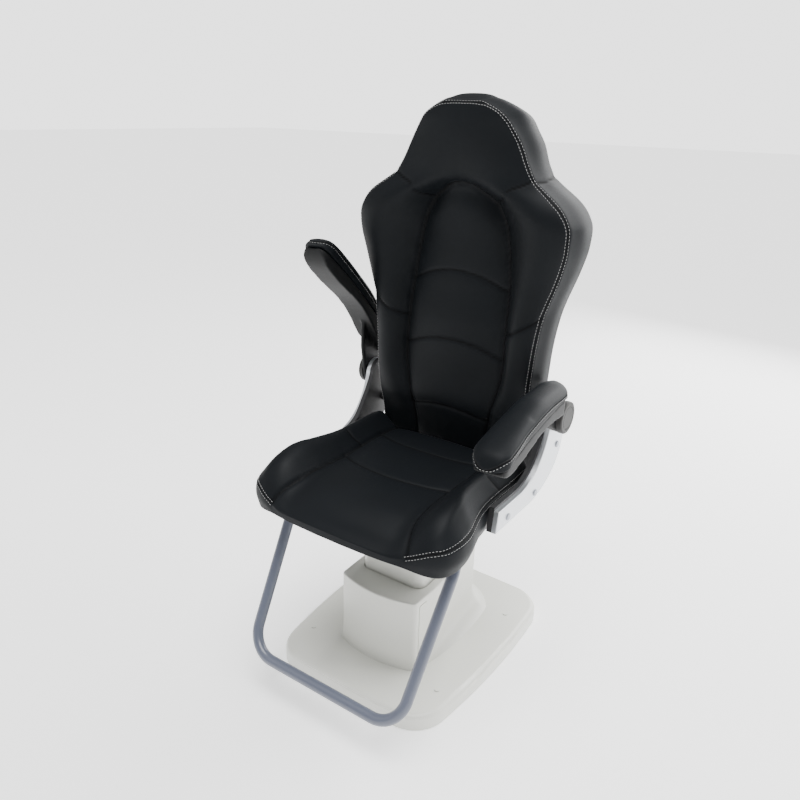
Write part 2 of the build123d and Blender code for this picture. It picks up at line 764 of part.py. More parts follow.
with BuildPart() as back_cushion:
    with BuildSketch(Plane.XZ.offset(-320)) as back_face:
        with BuildLine():
            right_edge = [
                (back_waist_half - 14, back_bottom),
                (back_waist_half, back_waist_z),
                (back_waist_half + 10, back_waist_z + 140),
                (back_wing_half - 10, back_wing_z - 80),
                (back_wing_half, back_wing_z),
                (back_wing_half - 22, back_wing_z + 50),
                (back_shoulder_half, back_shoulder_z),
                (back_shoulder_half - 34, back_shoulder_z + 68),
                (back_head_half, back_head_z),
                (back_head_half - 40, back_head_z + 33),
                (0, back_top),
            ]
            left_edge = [(-x, z) for x, z in reversed(right_edge[:-1])]
            outline_curve = Spline(*right_edge, *left_edge)
            Line(outline_curve @ 1, outline_curve @ 0)
        make_face()
    extrude(amount=320)
    with BuildSketch(Plane.YZ.offset(-300)) as back_side:
        with BuildLine():
            front_curve = Spline((back_front_y, back_bottom), (130, 600), (122, 760), (130, 880),
                                 (124, 1010), (122, 1090), (134, 1180), (160, 1288))
            rear_curve = Spline((back_rear_lower_y - 8, back_bottom), (back_rear_lower_y, 640),
                                (back_rear_lower_y + 2, 760), (238, 900), (250, 1000), (250, 1080),
                                (244, 1190), (230, 1290))
            Line(front_curve @ 0, rear_curve @ 0)
            ThreePointArc(front_curve @ 1, (200, back_top), rear_curve @ 1)
        make_face()
    extrude(amount=600, mode=Mode.INTERSECT)
    with BuildSketch(Plane.XZ.offset(-back_frame_y - back_frame_thickness - soft_gap)):
        with Locations((0, (back_crossbar_bottom + back_crossbar_top) / 2)):
            Rectangle(2 * (back_waist_half - back_frame_inset + soft_gap),
                      back_crossbar_top - back_crossbar_bottom + 2 * soft_gap)
        for side in (-1, 1):
            with Locations((side * back_upright_x, (back_crossbar_bottom + back_upright_top) / 2)):
                Rectangle(back_upright_width + 2 * soft_gap,
                          back_upright_top - back_crossbar_bottom + 2 * soft_gap)
        with Locations((0, (back_head_bar_bottom + back_upright_top) / 2)):
            Rectangle(2 * back_upright_x, back_upright_top - back_head_bar_bottom + 2 * soft_gap)
    extrude(amount=back_frame_thickness + 2 * soft_gap, mode=Mode.SUBTRACT)
    for side in (-1, 1):
        with Locations((side * (back_waist_half - back_frame_inset - back_lug / 2), back_bolt_y, back_bolt_z)):
            Box(back_lug + 2 * soft_gap, back_lug + 2 * soft_gap, back_lug + 2 * soft_gap,
                mode=Mode.SUBTRACT)
    with BuildSketch(Plane.YZ.offset(-back_wing_half)):
        with Locations((back_bolt_y, back_bolt_z)):
            Circle(spacer_radius + soft_gap)
    extrude(amount=2 * back_wing_half, mode=Mode.SUBTRACT)
save(back_cushion, "back_cushion")

# ================= side brackets =================


def bracket_sketch(margin):
    """Side view of the J shaped bracket, larger by margin on its inner edge."""
    with BuildSketch() as made:
        with BuildLine():
            lower = Line((bracket_front_y, bracket_lower_z), (66, bracket_lower_z))
            outer = Spline(lower @ 1, (150, 459), (207, 497), (231, 545), (233, 590), (224, 622),
                           tangents=((1, 0), (-0.5, 1)))
            top = ThreePointArc(outer @ 1, (190, 652), (154, 618))
            inner = Spline(top @ 1, (144 - margin, 585), (122 - margin, 546 + margin), (88, 512 + margin),
                           (44, bracket_upper_z + 3 + margin), (8, bracket_upper_z + margin))
            upper = Line(inner @ 1, (bracket_front_y + 8, bracket_upper_z + margin))
            Line(upper @ 1, lower @ 0)
        make_face()
    return made.sketch


bracket_bolts_at = [(y, seat_bolt_z) for y in seat_bolt_ys] + [(back_bolt_y, back_bolt_z)]

with BuildPart() as left_side_bracket:
    with BuildSketch(Plane.YZ.offset(bracket_inner_x)):
        add(bracket_sketch(0))
    extrude(amount=bracket_thickness)
    fillet(left_side_bracket.faces().sort_by(Axis.X)[-1].edges(), bracket_edge_round)
    with BuildSketch(Plane.YZ.offset(bracket_inner_x)):
        with Locations(*bracket_bolts_at):
            Circle(m8_radius + hole_clearance)
        with Locations((pivot_y, pivot_z)):
            Circle(pin_radius)
    extrude(amount=bracket_thickness, mode=Mode.SUBTRACT)
save(left_side_bracket, "left_side_bracket")

backing_x = bracket_inner_x - backing_thickness

with BuildPart() as left_bracket_backing:
    with BuildSketch(Plane.YZ.offset(backing_x)):
        add(bracket_sketch(backing_margin))
    extrude(amount=backing_thickness)
    with BuildSketch(Plane.YZ.offset(backing_x)):
        with Locations(*bracket_bolts_at):
            Circle(m8_radius + hole_clearance)
        with Locations((pivot_y, pivot_z)):
            Circle(pin_radius)
    extrude(amount=backing_thickness, mode=Mode.SUBTRACT)
    with BuildSketch(Plane.YZ.offset(back_waist_half - back_frame_inset)):
        with Locations((back_bolt_y, back_bolt_z)):
            Circle(spacer_radius)
            Circle(m8_radius + hole_clearance, mode=Mode.SUBTRACT)
    extrude(amount=backing_x - back_waist_half + back_frame_inset)
save(left_bracket_backing, "left_bracket_backing")

with BuildPart() as left_bracket_bolts:
    with BuildSketch(Plane.YZ.offset(bracket_inner_x + bracket_thickness)):
        with Locations(*bracket_bolts_at):
            Circle(m8_head_radius)
    extrude(amount=bolt_head_under_cap)
    with BuildSketch(Plane.YZ.offset(bracket_inner_x + bracket_thickness)):
        with Locations(*[(y, seat_bolt_z) for y in seat_bolt_ys]):
            Circle(m8_radius)
    extrude(amount=-bolt_length_seat)
    with BuildSketch(Plane.YZ.offset(bracket_inner_x + bracket_thickness)):
        with Locations((back_bolt_y, back_bolt_z)):
            Circle(m8_radius)
    extrude(amount=-(bracket_inner_x + bracket_thickness - back_waist_half + back_lug))
save(left_bracket_bolts, "left_bracket_bolts")

with BuildPart() as left_bracket_caps:
    with BuildSketch(Plane.YZ.offset(bracket_inner_x + bracket_thickness)):
        with Locations(*bracket_bolts_at):
            Circle(cap_radius)
    extrude(amount=cap_height)
    fillet(left_bracket_caps.faces().sort_by(Axis.X)[-3:].edges(), cap_round)
    with BuildSketch(Plane.YZ.offset(bracket_inner_x + bracket_thickness)):
        with Locations(*bracket_bolts_at):
            Circle(m8_head_radius)
    extrude(amount=bolt_head_under_cap, mode=Mode.SUBTRACT)
save(left_bracket_caps, "left_bracket_caps")

# ================= armrests, made lowered on the patient's left =================

hub_outer_x = pivot_x + hub_thickness

with BuildPart() as left_arm_pin:
    with BuildSketch(Plane.YZ.offset(backing_x)):
        with Locations((pivot_y, pivot_z)):
            Circle(pin_radius)
    extrude(amount=hub_outer_x - backing_x)
save(left_arm_pin, "left_arm_pin")


arm_forward = (sin(radians(arm_toe)), -cos(radians(arm_toe)), 0)
arm_inward = (-cos(radians(arm_toe)), -sin(radians(arm_toe)), 0)
arm_plan_plane = Plane(origin=(pad_centre_x, pivot_y, pivot_z), x_dir=arm_forward, z_dir=(0, 0, 1))


def arm_plane(shift):
    """Side plane of the arm, shift outward from its middle, facing inward, with forward as local x."""
    origin = (pad_centre_x - shift * arm_inward[0], pivot_y - shift * arm_inward[1], pivot_z)
    return Plane(origin=origin, x_dir=arm_forward, z_dir=arm_inward)


def arm_plan(inset):
    """Plan of the pad seen from above: a full round at the tip, smaller rounds at the rear."""
    half_width = pad_half_width - inset
    reach = arm_reach - inset
    rear = pad_rear + inset
    with BuildSketch() as made:
        with BuildLine():
            Line((rear, -half_width), (reach - half_width, -half_width))
            ThreePointArc((reach - half_width, -half_width), (reach, 0), (reach - half_width, half_width))
            Line((reach - half_width, half_width), (rear + pad_rear_slant, half_width))
            Line((rear + pad_rear_slant, half_width), (rear, -half_width))
        make_face()
        fillet([v for v in made.vertices() if v.X < reach / 2], pad_rear_radius - inset)
    return made.sketch


core_half_width = pad_half_width - core_inset

with BuildPart() as left_arm_core:
    with BuildSketch(arm_plane(core_half_width)):
        with BuildLine():
            top_line = Spline((arm_reach - 12, 28), (330, 44), (260, 58), (180, 68), (90, 74), (0, 70), (-10, 68))
            under_line = Spline((arm_reach - 12, 28), (arm_reach - 34, 14), (330, 15), (284, 24), (220, 40),
                                (162, 45), (96, 40), (30, 38), (-10, 42))
            Line(top_line @ 1, under_line @ 1)
        make_face()
    extrude(amount=2 * core_half_width)
    with BuildSketch(arm_plan_plane):
        add(arm_plan(core_inset))
    extrude(amount=pad_lift, mode=Mode.INTERSECT)
    with BuildSketch(Plane.YZ.offset(pivot_x)):
        with Locations((pivot_y, pivot_z)):
            Circle(hub_radius)
        with BuildLine():
            Polyline((pivot_y + 12, pivot_z + 30), (pivot_y + 2, pivot_z + 54), (pivot_y - 150, pivot_z + 50),
                     (pivot_y - 85, pivot_z + 2), (pivot_y - 20, pivot_z - 31), (pivot_y + 12, pivot_z + 30))
        make_face()
    extrude(amount=hub_thickness)
    with BuildSketch(Plane.YZ.offset(pivot_x)):
        with Locations((pivot_y, pivot_z)):
            Circle(pin_radius + pin_clearance)
    extrude(amount=hub_thickness, mode=Mode.SUBTRACT)
save(left_arm_core, "left_arm_core")

with BuildPart() as left_arm_pad:
    with BuildSketch(arm_plane(pad_half_width)):
        with BuildLine():
            crown = Spline((arm_reach, 38), (arm_reach - 12, 58), (330, 79), (260, 92), (180, 101), (80, 104),
                           (8, 100), (pad_rear, 90))
            seat_line = Spline((arm_reach, 38), (arm_reach - 12, 28), (330, 44.4), (260, 58.4), (180, 68.4),
                               (90, 74.4), (0, 70.4), (pad_rear, 69))
            Line(crown @ 1, seat_line @ 1)
        make_face()
    extrude(amount=2 * pad_half_width)
    with BuildSketch(arm_plan_plane):
        add(arm_plan(0))
    extrude(amount=pad_lift, mode=Mode.INTERSECT)
    add(left_arm_core.part, mode=Mode.SUBTRACT)
save(left_arm_pad, "left_arm_pad")

with BuildPart() as left_arm_knob:
    with BuildSketch(Plane.YZ.offset(hub_outer_x)):
        with Locations((pivot_y, pivot_z)):
            Circle(knob_radius)
    extrude(amount=knob_thickness)
    fillet(left_arm_knob.faces().sort_by(Axis.X)[-1].edges(), knob_round)
    with BuildSketch(Plane.YZ.offset(hub_outer_x + knob_thickness)):
        with Locations((pivot_y, pivot_z)):
            Circle(knob_ring_radius)
    extrude(amount=-knob_ring_depth, mode=Mode.SUBTRACT)
    with BuildSketch(Plane.YZ.offset(hub_outer_x + knob_thickness - knob_ring_depth)):
        with Locations((pivot_y, pivot_z)):
            Circle(knob_ring_radius - knob_ring_width)
    extrude(amount=knob_ring_depth)
save(left_arm_knob, "left_arm_knob")

mirrored_names = {
    "side_bracket": left_side_bracket,
    "bracket_backing": left_bracket_backing,
    "bracket_bolts": left_bracket_bolts,
    "bracket_caps": left_bracket_caps,
    "arm_pin": left_arm_pin,
}
for name, piece in mirrored_names.items():
    with BuildPart() as right_piece:
        add(mirrored(piece))
    save(right_piece, f"right_{name}")

raised_names = {"arm_core": left_arm_core, "arm_pad": left_arm_pad, "arm_knob": left_arm_knob}
for name, piece in raised_names.items():
    with BuildPart() as right_piece:
        add(raised(piece))
    save(right_piece, f"right_{name}")

# ================= footrest =================


def foot_path():
    with BuildLine() as path:
        FilletPolyline((foot_tail_x, foot_tail_y, foot_upper_z),
                       (foot_upper_x, foot_upper_y, foot_upper_z),
                       (foot_lower_x, foot_lower_y, foot_lower_z),
                       (-foot_lower_x, foot_lower_y, foot_lower_z),
                       (-foot_upper_x, foot_upper_y, foot_upper_z),
                       (-foot_tail_x, foot_tail_y, foot_upper_z),
                       radius=[foot_upper_bend, foot_lower_bend, foot_lower_bend, foot_upper_bend])
    return path.line


foot_line = foot_path()
foot_start = Plane(origin=foot_line @ 0, z_dir=foot_line % 0)

with BuildPart() as footrest_tube:
    with BuildSketch(foot_start):
        Circle(foot_tube_radius)
        Circle(foot_tube_radius - foot_tube_wall, mode=Mode.SUBTRACT)
    sweep(path=foot_line)
save(footrest_tube, "footrest_tube")

tail_start = Vector(foot_tail_x, foot_tail_y, foot_upper_z)
tail_run = Vector(foot_upper_x - foot_tail_x, foot_upper_y - foot_tail_y, 0)
tail_way = tail_run.normalized()
clamp_centres = [tail_start + tail_run * (1 - station) for station in clamp_at]
clamp_height = frame_bottom - foot_upper_z + foot_tube_radius + clamp_wall

with BuildPart() as left_clamps:
    for centre in clamp_centres:
        clamp_plane = Plane(origin=(centre.X, centre.Y, frame_bottom - clamp_height / 2), z_dir=tail_way,
                            x_dir=(0, 0, 1))
        with BuildSketch(clamp_plane.offset(-clamp_length / 2)):
            Rectangle(clamp_height, clamp_width)
        extrude(amount=clamp_length)
    with BuildSketch(Plane(origin=tail_start - tail_way, z_dir=tail_way)):
        Circle(foot_tube_radius)
    extrude(amount=tail_run.length, mode=Mode.SUBTRACT)

with BuildPart() as footrest_clamps:
    add(left_clamps.part)
    add(mirrored(left_clamps))
save(footrest_clamps, "footrest_clamps")

with BuildPart() as footrest_plugs:
    for side in (-1, 1):
        plug_start = Vector(side * foot_tail_x, foot_tail_y, foot_upper_z)
        plug_way = Vector(side * tail_way.X, tail_way.Y, 0)
        with BuildSketch(Plane(origin=plug_start, z_dir=plug_way)):
            Circle(foot_tube_radius - foot_tube_wall)
        extrude(amount=plug_length)
        with BuildSketch(Plane(origin=plug_start, z_dir=plug_way)):
            Circle(foot_tube_radius)
        extrude(amount=-plug_flange)
save(footrest_plugs, "footrest_plugs")
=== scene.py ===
import math

import bpy
import numpy as np
from mathutils import Matrix, Vector
from mathutils.bvhtree import BVHTree
from mathutils.kdtree import KDTree


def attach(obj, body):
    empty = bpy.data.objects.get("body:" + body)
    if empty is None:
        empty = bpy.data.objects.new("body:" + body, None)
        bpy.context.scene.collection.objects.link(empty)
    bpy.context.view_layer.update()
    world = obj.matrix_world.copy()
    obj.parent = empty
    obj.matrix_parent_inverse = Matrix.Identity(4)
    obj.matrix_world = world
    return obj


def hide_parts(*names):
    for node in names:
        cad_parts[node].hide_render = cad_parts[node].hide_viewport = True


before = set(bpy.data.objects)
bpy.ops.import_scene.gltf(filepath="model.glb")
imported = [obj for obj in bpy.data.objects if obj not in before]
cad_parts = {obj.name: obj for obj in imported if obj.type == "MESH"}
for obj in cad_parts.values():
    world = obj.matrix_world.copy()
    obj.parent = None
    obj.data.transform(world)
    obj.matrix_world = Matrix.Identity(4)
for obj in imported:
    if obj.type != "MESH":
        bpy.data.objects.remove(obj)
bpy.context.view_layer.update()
mm = 0.001


# camera, lights and floor

view = {
    "azimuth": 34.144, "elevation": 21.739, "roll": 1.5315,  # degrees
    "place": (0.83446, -1.30067, 1.26792),
    "lens": 33.13, "sensor": 36.0,
}


def makeCamera(v):
    a, e, r = (math.radians(v[k]) for k in ("azimuth", "elevation", "roll"))
    back = Vector((math.sin(a) * math.cos(e), -math.cos(a) * math.cos(e), math.sin(e)))
    flatRight = (-back).cross(Vector((0, 0, 1))).normalized()
    flatUp = back.cross(flatRight)
    right = flatRight * math.cos(r) + flatUp * math.sin(r)
    up = flatUp * math.cos(r) - flatRight * math.sin(r)
    data = bpy.data.cameras.new("camera")
    data.lens = v["lens"]
    data.sensor_width = v["sensor"]
    data.clip_start = 0.05
    camera = bpy.data.objects.new("camera", data)
    turn = Matrix((right, up, back)).transposed().to_4x4()
    camera.matrix_world = Matrix.Translation(v["place"]) @ turn
    bpy.context.collection.objects.link(camera)
    bpy.context.scene.camera = camera


studio = {
    "floorColour": (0.94, 0.94, 0.94, 1.0), "floorSize": 60.0,
    "air": (1.0, 1.0, 1.0, 1.0), "airStrength": 0.42, "airSeen": 2.6, "floorGlow": 0.6,
    "sun": ("softSky", (0.25, -0.20, 2.0), 4.6, 46.0),  # name, from, strength, degrees across
    "lamps": [  # name, place, aim, size, watts
        ("softKey", (-2.0, -1.6, 1.9), (0, 0, 0.7), 1.6, 10.0),
        ("softRim", (1.9, 1.5, 2.2), (0, 0.1, 0.8), 1.4, 50.0),
        ("softBack", (0.5, 2.8, 1.7), (0, 0, 0.6), 2.4, 120.0),
    ],
}


def makeStudio(s):
    bpy.ops.mesh.primitive_plane_add(size=s["floorSize"], location=(0, 0, 0))
    floor = bpy.context.active_object
    floor.name = "studioFloor"
    paint = plainFinish("floorPaint", s["floorColour"], 0.9)
    paint.node_tree.nodes["Principled BSDF"].inputs["Emission Color"].default_value = s["air"]
    paint.node_tree.nodes["Principled BSDF"].inputs["Emission Strength"].default_value = s["floorGlow"]
    floor.data.materials.append(paint)
    name, place, strength, across = s["sun"]
    data = bpy.data.lights.new(name, "SUN")
    data.energy = strength
    data.angle = math.radians(across)
    aimLamp(bpy.data.objects.new(name, data), place, (0, 0, 0))
    for name, place, aim, size, watts in s["lamps"]:
        data = bpy.data.lights.new(name, "AREA")
        data.size = size
        data.energy = watts
        aimLamp(bpy.data.objects.new(name, data), place, aim)
    world = bpy.data.worlds.new("studioAir")
    world.use_nodes = True
    nodes, links = world.node_tree.nodes, world.node_tree.links
    lit = nodes["Background"]
    seen = nodes.new("ShaderNodeBackground")
    for shade, strength in ((lit, s["airStrength"]), (seen, s["airSeen"])):
        shade.inputs["Color"].default_value = s["air"]
        shade.inputs["Strength"].default_value = strength
    choose = nodes.new("ShaderNodeMixShader")
    links.new(nodes.new("ShaderNodeLightPath").outputs["Is Camera Ray"], choose.inputs[0])
    links.new(lit.outputs[0], choose.inputs[1])
    links.new(seen.outputs[0], choose.inputs[2])
    links.new(choose.outputs[0], nodes["World Output"].inputs["Surface"])
    bpy.context.scene.world = world


def aimLamp(lamp, place, aim):
    lamp.location = place
    lamp.rotation_euler = (Vector(aim) - Vector(place)).to_track_quat("-Z", "Y").to_euler()
    bpy.context.collection.objects.link(lamp)


# shader helpers

class Wire:

    def __init__(self, finish, socket):
        self.finish = finish
        self.socket = socket

    def join(self, operation, first, second):
        made = self.finish.node("ShaderNodeMath", {"operation": operation}, {0: first, 1: second})
        return made["Value"]

    def __add__(self, other):
        return self.join("ADD", self, other)

    def __radd__(self, other):
        return self.join("ADD", other, self)

    def __sub__(self, other):
        return self.join("SUBTRACT", self, other)

    def __rsub__(self, other):
        return self.join("SUBTRACT", other, self)

    def __mul__(self, other):
        return self.join("MULTIPLY", self, other)

    def __rmul__(self, other):
        return self.join("MULTIPLY", other, self)


class Outputs:
    def __init__(self, finish, node):
        self.finish = finish
        self.made = node

    def __getitem__(self, name):
        return Wire(self.finish, self.made.outputs[name])


class Finish:
    def __init__(self, name):
        self.material = bpy.data.materials.new(name)
        self.material.use_nodes = True
        self.tree = self.material.node_tree
        self.shader = self.tree.nodes["Principled BSDF"]

    def node(self, kind, settings, inputs):
        made = self.tree.nodes.new(kind)
        for key, value in settings.items():
            setattr(made, key, value)
        for key, value in inputs.items():
            self.feed(made.inputs[key], value)
        return Outputs(self, made)

    def feed(self, socket, value):
        if isinstance(value, Wire):
            self.tree.links.new(value.socket, socket)
        else:
            socket.default_value = value

    def set(self, **values):
        for key, value in values.items():
            self.feed(self.shader.inputs[key.replace("_", " ")], value)

    def place(self):
        return self.node("ShaderNodeTexCoord", {}, {})["Object"]

    def noise(self, scale, detail=2.0, roughness=0.5):
        made = self.node("ShaderNodeTexNoise", {}, {
            "Vector": self.place(), "Scale": scale, "Detail": detail, "Roughness": roughness})
        return made["Fac"]

    def cells(self, scale, feature="F1"):
        made = self.node("ShaderNodeTexVoronoi", {"feature": feature}, {
            "Vector": self.place(), "Scale": scale})
        return made["Distance"]

    def between(self, factor, first, second):
        made = self.node("ShaderNodeMix", {"data_type": "RGBA"}, {0: factor, 6: first, 7: second})
        return Wire(self, made.made.outputs[2])

    def bump(self, height, distance, strength):
        inputs = {"Height": height, "Distance": distance, "Strength": strength}
        return self.node("ShaderNodeBump", {}, inputs)["Normal"]


def plainFinish(name, colour, roughness):
    finish = Finish(name)
    grain = finish.noise(60.0)
    darker = tuple(c * 0.96 for c in colour[:3]) + (1.0,)
    finish.set(Base_Color=finish.between(grain, darker, colour), Roughness=roughness)
    return finish.material


# finishes, one function each, settings beside it

leather = {
    "colour": (0.0040, 0.0049, 0.0060, 1.0), "worn": (0.0062, 0.0076, 0.0094, 1.0),
    # the third colour is painted shade, laid along the seam grooves by the seam attribute
    "crease": (0.0012, 0.0013, 0.0015, 1.0),
    "roughness": 0.46, "gloss": 0.11, "grainScale": 620.0, "grainDepth": 0.00016,
}


def leatherFinish(name, s):
    finish = Finish(name)
    cloud = finish.noise(9.0, 3.0)
    pores = finish.cells(s["grainScale"])
    folds = finish.noise(s["grainScale"] * 0.35, 4.0, 0.65)
    seam = finish.node("ShaderNodeAttribute", {"attribute_name": "seam"}, {})["Fac"]
    body = finish.between(cloud, s["colour"], s["worn"])
    finish.set(
        # the seam attribute mixes in painted shade: the leather gets darker along every seam groove
        Base_Color=finish.between(seam, body, s["crease"]),
        Roughness=s["roughness"] + folds * 0.16 - cloud * 0.06 + seam * 0.2,
        Normal=finish.bump(pores * 0.6 + folds * 0.8, s["grainDepth"], 0.55),
    )
    finish.shader.inputs["Specular IOR Level"].default_value = s["gloss"]
    return finish.material


coverPlastic = {
    "colour": (0.75, 0.755, 0.70, 1.0), "shade": (0.715, 0.72, 0.66, 1.0),
    "roughness": 0.30,
}


def coverFinish(name, s):
    finish = Finish(name)
    cloud = finish.noise(5.0, 2.0)
    skin = finish.noise(900.0, 3.0, 0.6)
    finish.set(
        Base_Color=finish.between(cloud, s["colour"], s["shade"]),
        Roughness=s["roughness"] + cloud * 0.06,
        Normal=finish.bump(skin, 0.00003, 0.4),
    )
    finish.shader.inputs["Coat Weight"].default_value = 0.25
    finish.shader.inputs["Coat Roughness"].default_value = 0.15
    return finish.material


def enamelFinish(name, colour, roughness, coat=0.3):
    finish = Finish(name)
    peel = finish.noise(260.0, 2.0)
    cloud = finish.noise(14.0, 3.0)
    dim = tuple(c * 0.88 for c in colour) + (1.0,)
    finish.set(
        Base_Color=finish.between(cloud, dim, tuple(colour) + (1.0,)),
        Roughness=roughness + peel * 0.06,
        Normal=finish.bump(peel, 0.00006, 0.35),
    )
    finish.shader.inputs["Coat Weight"].default_value = coat
    finish.shader.inputs["Coat Roughness"].default_value = 0.12
    return finish.material


def mouldedFinish(name, colour, roughness, spark=700.0, depth=0.00012, gloss=0.5):
    finish = Finish(name)
    spots = finish.cells(spark)
    cloud = finish.noise(20.0, 3.0)
    dim = tuple(c * 0.82 for c in colour) + (1.0,)
    finish.set(
        Base_Color=finish.between(cloud, dim, tuple(colour) + (1.0,)),
        Roughness=roughness + spots * 0.1,
        Normal=finish.bump(spots, depth, 0.5),
    )
    finish.shader.inputs["Specular IOR Level"].default_value = gloss
    return finish.material


def metalFinish(name, colour, roughness, flake=2200.0, metallic=1.0):
    finish = Finish(name)
    flakes = finish.noise(flake, 1.0)
    cloud = finish.noise(12.0, 3.0)
    dim = tuple(c * 0.9 for c in colour) + (1.0,)
    finish.set(
        Base_Color=finish.between(flakes, dim, tuple(colour) + (1.0,)),
        Roughness=roughness + cloud * 0.08,
        Metallic=metallic,
        Normal=finish.bump(flakes, 0.00002, 0.3),
    )
    return finish.material


def woodFinish(name):
    finish = Finish(name)
    where = finish.node("ShaderNodeMapping", {}, {"Vector": finish.place(), "Scale": (4.0, 60.0, 60.0)})
    grain = finish.node("ShaderNodeTexNoise", {}, {"Vector": where["Vector"], "Scale": 3.0, "Detail": 6.0})
    finish.set(
        Base_Color=finish.between(grain["Fac"], (0.30, 0.19, 0.10, 1), (0.52, 0.38, 0.23, 1)),
        Roughness=0.7 - grain["Fac"] * 0.1,
        Normal=finish.bump(grain["Fac"], 0.0002, 0.4),
    )
    return finish.material


def threadFinish(name):
    finish = Finish(name)
    twist = finish.noise(2400.0, 2.0)
    finish.set(
        Base_Color=finish.between(twist, (0.26, 0.26, 0.26, 1), (0.50, 0.50, 0.49, 1)),
        Roughness=0.8,
        Normal=finish.bump(twist, 0.0001, 0.6),
    )
    return finish.material


def dressFrame():
    black = mouldedFinish("blackMoulding", (0.020, 0.020, 0.022), 0.50)
    armPlastic = mouldedFinish("armPlastic", (0.040, 0.039, 0.038), 0.50, gloss=0.3)
    armBlack = mouldedFinish("armMoulding", (0.010, 0.0105, 0.011), 0.46, gloss=0.15)
    cover = coverFinish("creamMoulding", coverPlastic)
    silver = metalFinish("satinSilver", (0.68, 0.70, 0.73), 0.30, metallic=0.85)
    capGrey = enamelFinish("capGrey", (0.42, 0.45, 0.50), 0.35, 0.1)
    steel = metalFinish("zincSteel", (0.55, 0.56, 0.58), 0.35)
    powder = mouldedFinish("powderBlack", (0.025, 0.025, 0.027), 0.55, 900.0)
    tube = enamelFinish("tubeEnamel", (0.100, 0.112, 0.152), 0.34)
    rod = metalFinish("groundRod", (0.78, 0.79, 0.80), 0.12)
    nylon = mouldedFinish("nylon", (0.72, 0.71, 0.66), 0.45)
    cast = metalFinish("castAlloy", (0.55, 0.56, 0.57), 0.5)
    rubber = mouldedFinish("pedalRubber", (0.018, 0.018, 0.019), 0.7, 500.0, 0.0002)
    finishes = {
        cover: ["base_cover", "base_cover_screws", "lower_column_cover", "upper_column_cover"],
        tube: ["footrest_tube"],
        powder: ["base_plate", "seat_frame", "back_frame", "column_top_plate", "swivel_lower_race",
                 "swivel_upper_race", "footrest_clamps", "lift_outer_tube", "actuator_motor"],
        steel: ["seat_frame_bolts", "foot_switch_axle", "swivel_spindle", "lift_inner_tube"],
        black: ["control_box", "power_inlet", "foot_switch_housing", "footrest_plugs"],
        rod: ["actuator_rod"],
        nylon: ["guide_bushes"],
        cast: ["actuator_gearbox", "actuator_tube"],
        rubber: ["foot_pedal_up", "foot_pedal_down"],
        woodFinish("plywood"): ["seat_board"],
    }
    for side in ("left", "right"):
        finishes[silver] = finishes.get(silver, []) + [side + "_side_bracket"]
        finishes[black].append(side + "_bracket_backing")
        finishes[steel] += [side + "_bracket_bolts", side + "_arm_pin"]
        finishes[capGrey] = finishes.get(capGrey, []) + [side + "_bracket_caps"]
        finishes[armPlastic] = finishes.get(armPlastic, []) + [side + "_arm_knob"]
        finishes[armBlack] = finishes.get(armBlack, []) + [side + "_arm_core"]
    for material, names in finishes.items():
        for name in names:
            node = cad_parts[name]
            if not node.material_slots:
                node.data.materials.append(material)
            for slot in node.material_slots:
                slot.material = material


# upholstery helpers

def through(points):
    xs = np.array([p[0] for p in points], float)
    ys = np.array([p[1] for p in points], float)
    step = np.diff(xs)
    rise = np.diff(ys) / step
    lean = np.concatenate(([0.0], np.where(rise[:-1] * rise[1:] > 0, 2 * rise[:-1] * rise[1:]
                          / np.where(rise[:-1] + rise[1:] == 0, 1, rise[:-1] + rise[1:]), 0.0), [0.0]))
    lean[0], lean[-1] = rise[0], rise[-1]

    def value(at):
        at = np.clip(np.asarray(at, float), xs[0], xs[-1])
        k = np.clip(np.searchsorted(xs, at) - 1, 0, len(step) - 1)
        t = (at - xs[k]) / step[k]
        return ((1 + 2 * t) * (1 - t) ** 2 * ys[k] + t * (1 - t) ** 2 * step[k] * lean[k]
                + t * t * (3 - 2 * t) * ys[k + 1] + t * t * (t - 1) * step[k] * lean[k + 1])
    return value


def ease(t):
    t = np.clip(t, 0.0, 1.0)
    return t * t * (3 - 2 * t)


def blockMesh(name, counts, place):
    nu, nv, nw = counts
    index = {}
    spots = []
    faces = []

    def spot(i, j, k):
        key = (i, j, k)
        if key not in index:
            index[key] = len(spots)
            spots.append((2 * i / nu - 1, 2 * j / nv - 1, 2 * k / nw - 1))
        return index[key]

    def patch(corner, alongA, alongB, na, nb):
        for s in range(na):
            for t in range(nb):
                quad = []
                for ds, dt in ((0, 0), (1, 0), (1, 1), (0, 1)):
                    quad.append(spot(*(c + (s + ds) * p + (t + dt) * q
                                       for c, p, q in zip(corner, alongA, alongB))))
                faces.append(quad)

    patch((0, 0, nw), (1, 0, 0), (0, 1, 0), nu, nv)
    patch((0, 0, 0), (0, 1, 0), (1, 0, 0), nv, nu)
    patch((0, 0, 0), (1, 0, 0), (0, 0, 1), nu, nw)
    patch((0, nv, 0), (0, 0, 1), (1, 0, 0), nw, nu)
    patch((0, 0, 0), (0, 0, 1), (0, 1, 0), nw, nv)
    patch((nu, 0, 0), (0, 1, 0), (0, 0, 1), nv, nw)
    cube = np.array(spots)
    points = np.stack(place(cube[:, 0], cube[:, 1], cube[:, 2]), axis=1) * mm
    mesh = bpy.data.meshes.new(name)
    mesh.from_pydata(points.tolist(), [], faces)
    made = bpy.data.objects.new(name, mesh)
    bpy.context.collection.objects.link(made)
    pick(made)
    bpy.ops.object.mode_set(mode="EDIT")
    bpy.ops.mesh.select_all(action="SELECT")
    bpy.ops.mesh.normals_make_consistent(inside=False)
    bpy.ops.object.mode_set(mode="OBJECT")
    return made


def pick(thing):
    bpy.ops.object.select_all(action="DESELECT")
    thing.select_set(True)
    bpy.context.view_layer.objects.active = thing


def smoothOut(thing, levels):
    rounder = thing.modifiers.new("rounder", "SUBSURF")
    rounder.levels = levels
    rounder.render_levels = levels
    pick(thing)
    bpy.ops.object.modifier_apply(modifier="rounder")
    bpy.ops.object.shade_smooth()


